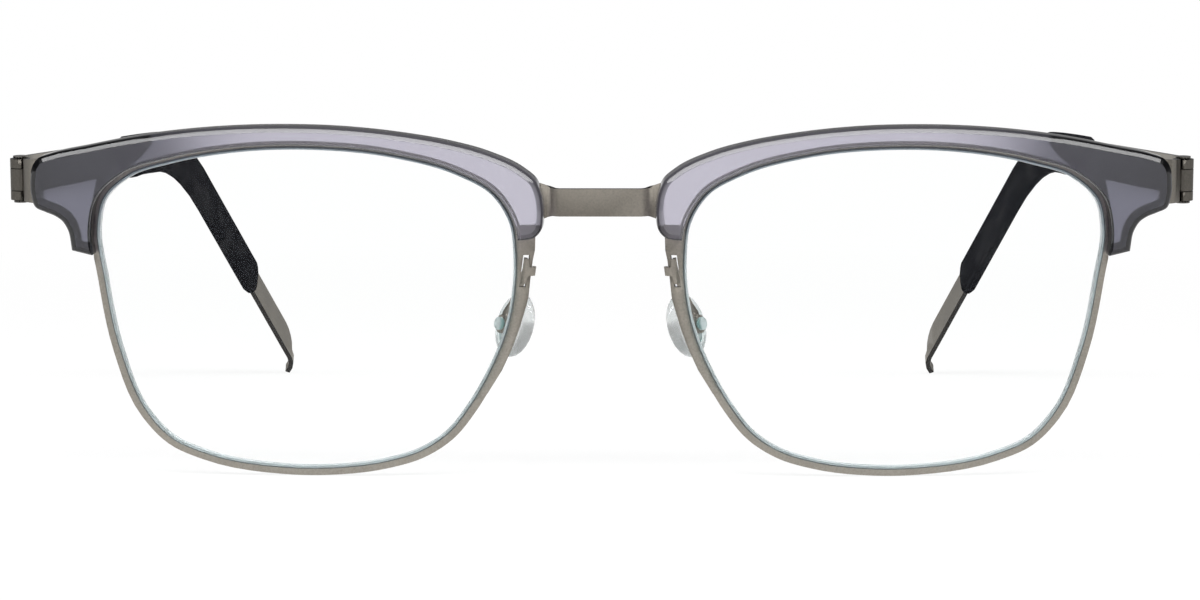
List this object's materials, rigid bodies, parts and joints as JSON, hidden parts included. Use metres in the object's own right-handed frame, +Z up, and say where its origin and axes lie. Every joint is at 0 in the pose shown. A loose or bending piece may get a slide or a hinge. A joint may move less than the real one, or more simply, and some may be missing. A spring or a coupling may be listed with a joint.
{
  "type": "eyeglass frame",
  "caption": "Browline eyeglass frame: thin titanium sheet front, two translucent acetate brows, clear demo lenses, rocking nose pads and slim folding temples with soft sleeves.",
  "frame": {"origin": "centre of the underside of the whole model's box, on the surface the open glasses stand on", "axes": "+X towards the wearer's left, +Y from the front back along the temples, +Z up; the front faces -Y and leans 4.5 degrees"},
  "size_m": [0.1434, 0.1342, 0.0423],
  "materials": {
    "titanium": "matte fine-grained warm grey titanium sheet",
    "acetate": "polished translucent grey-lilac acetate",
    "lens": "clear polished demo lens with a ground edge",
    "silicone_pad": "clear soft silicone",
    "pad_core": "smooth pale grey-green plastic",
    "silicone_sleeve": "satin black silicone",
    "pin_steel": "satin steel"
  },
  "bodies": {
    "front": {"front_chassis": "titanium", "lens_left": "lens", "lens_right": "lens", "brow_left": "acetate", "brow_right": "acetate", "pad_arm_left": "titanium", "pad_arm_right": "titanium", "hinge_pin_left": "pin_steel", "hinge_pin_right": "pin_steel"},
    "temple_left": {"temple_left": "titanium", "temple_sleeve_left": "silicone_sleeve"},
    "temple_right": {"temple_right": "titanium", "temple_sleeve_right": "silicone_sleeve"},
    "nose_pad_left": {"nose_pad_left": "silicone_pad", "pad_core_left": "pad_core"},
    "nose_pad_right": {"nose_pad_right": "silicone_pad", "pad_core_right": "pad_core"}
  },
  "joints": [
    {"name": "temple_left_fold", "type": "hinge", "parent": "front", "child": "temple_left", "pos_m": [0.07048, -0.05282, 0.03527], "axis": [0, -0.0785, 0.9969], "range_deg": [0, 84]},
    {"name": "temple_right_fold", "type": "hinge", "parent": "front", "child": "temple_right", "pos_m": [-0.07048, -0.05282, 0.03527], "axis": [0, 0.0785, -0.9969], "range_deg": [0, 80]},
    {"name": "nose_pad_left_rock", "type": "hinge", "parent": "front", "child": "nose_pad_left", "pos_m": [0.01183, -0.05665, 0.01806], "axis": [-0.2924, -0.075, 0.9534], "range_deg": [-8, 8]},
    {"name": "nose_pad_right_rock", "type": "hinge", "parent": "front", "child": "nose_pad_right", "pos_m": [-0.01183, -0.05665, 0.01806], "axis": [0.2924, -0.075, 0.9534], "range_deg": [-8, 8]}
  ]
}
